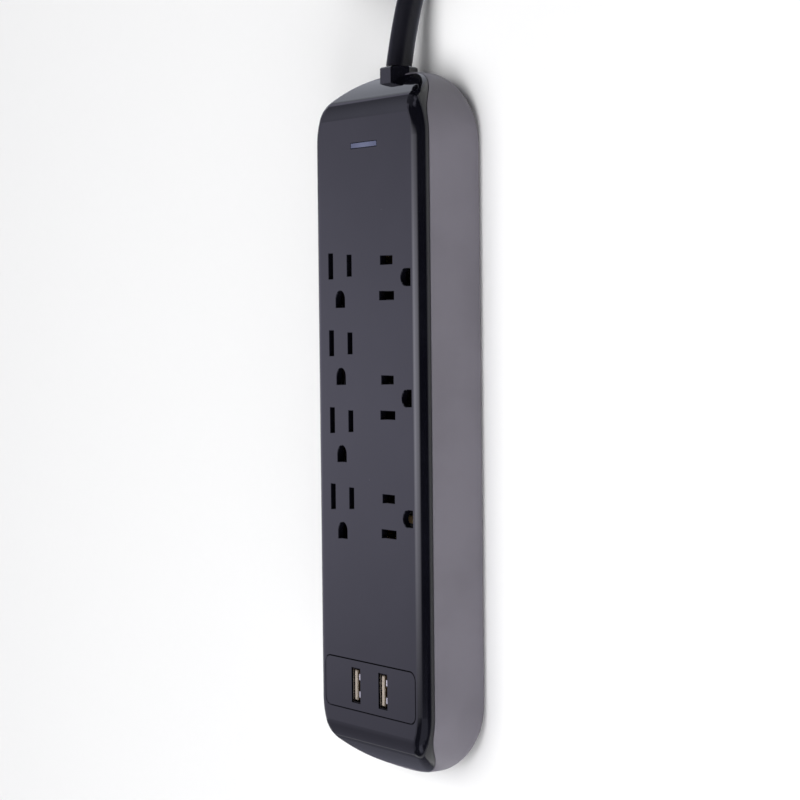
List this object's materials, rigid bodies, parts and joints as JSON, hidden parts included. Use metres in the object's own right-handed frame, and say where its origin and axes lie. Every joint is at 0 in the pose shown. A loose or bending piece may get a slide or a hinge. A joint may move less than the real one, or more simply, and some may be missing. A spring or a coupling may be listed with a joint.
{
  "type": "power strip",
  "caption": "Slim power strip with upright and sideways grounded outlets on a gloss face, an indicator bar, a USB charging panel and a coiled mains lead with a plug.",
  "frame": {"origin": "middle of the body's length and width, on its flat back", "axes": "+Z out of the front face, +Y towards the end where the lead comes in, +X to the right of the face"},
  "size_m": [0.0902, 0.5376, 0.0409],
  "materials": {
    "gloss_black": "high gloss black polycarbonate",
    "matte_black": "fine matte black",
    "collar_black": "satin black",
    "lens": "pale lavender translucent, unlit",
    "led": "clear epoxy",
    "steel": "nickel plated",
    "port_plastic": "light grey beige",
    "brass": "stamped brass",
    "board": "green solder mask",
    "component_yellow": "yellow tape",
    "can": "sleeved can",
    "tray_plastic": "natural",
    "varistor_blue": "epoxy coating",
    "fuse_white": "ceramic",
    "breaker_plastic": "moulded",
    "wire_black": "insulation",
    "wire_white": "insulation",
    "wire_green": "insulation",
    "cord_black": "satin vinyl",
    "tie_black": "hook and loop"
  },
  "bodies": {
    "strip": {"front_cover": "gloss_black", "base_shell": "matte_black", "usb_panel": "gloss_black", "indicator_lens": "lens", "indicator_led": "led", "usb_shell_left": "steel", "usb_shell_right": "steel", "usb_tongue_left": "port_plastic", "usb_tongue_right": "port_plastic", "usb_contacts_left": "brass", "usb_contacts_right": "brass", "usb_board": "board", "surge_board": "board", "usb_transformer": "component_yellow", "usb_capacitor": "can", "contact_tray": "tray_plastic", "hot_bus": "brass", "neutral_bus": "brass", "ground_bus": "brass", "varistor_hot_to_neutral": "varistor_blue", "varistor_hot_to_ground": "varistor_blue", "varistor_neutral_to_ground": "varistor_blue", "thermal_fuse": "fuse_white", "circuit_breaker": "breaker_plastic", "cover_screws": "steel", "hot_wire": "wire_black", "neutral_wire": "wire_white", "ground_wire": "wire_green", "sheath_end": "cord_black", "cord_collar": "collar_black", "cord_lead": "cord_black", "cord_tail": "cord_black", "cord_coil": "cord_black", "cord_tie": "tie_black", "plug_body": "cord_black", "plug_relief": "cord_black", "hot_blade": "brass", "neutral_blade": "brass", "ground_pin": "brass"},
    "reset": {"reset_button": "matte_black"}
  },
  "joints": [
    {"name": "reset_press", "type": "slide", "parent": "strip", "child": "reset", "axis": [1, 0, 0], "range_m": [0, 0.0015], "stiffness_N_per_m": 400, "springref_m": -0.003}
  ]
}
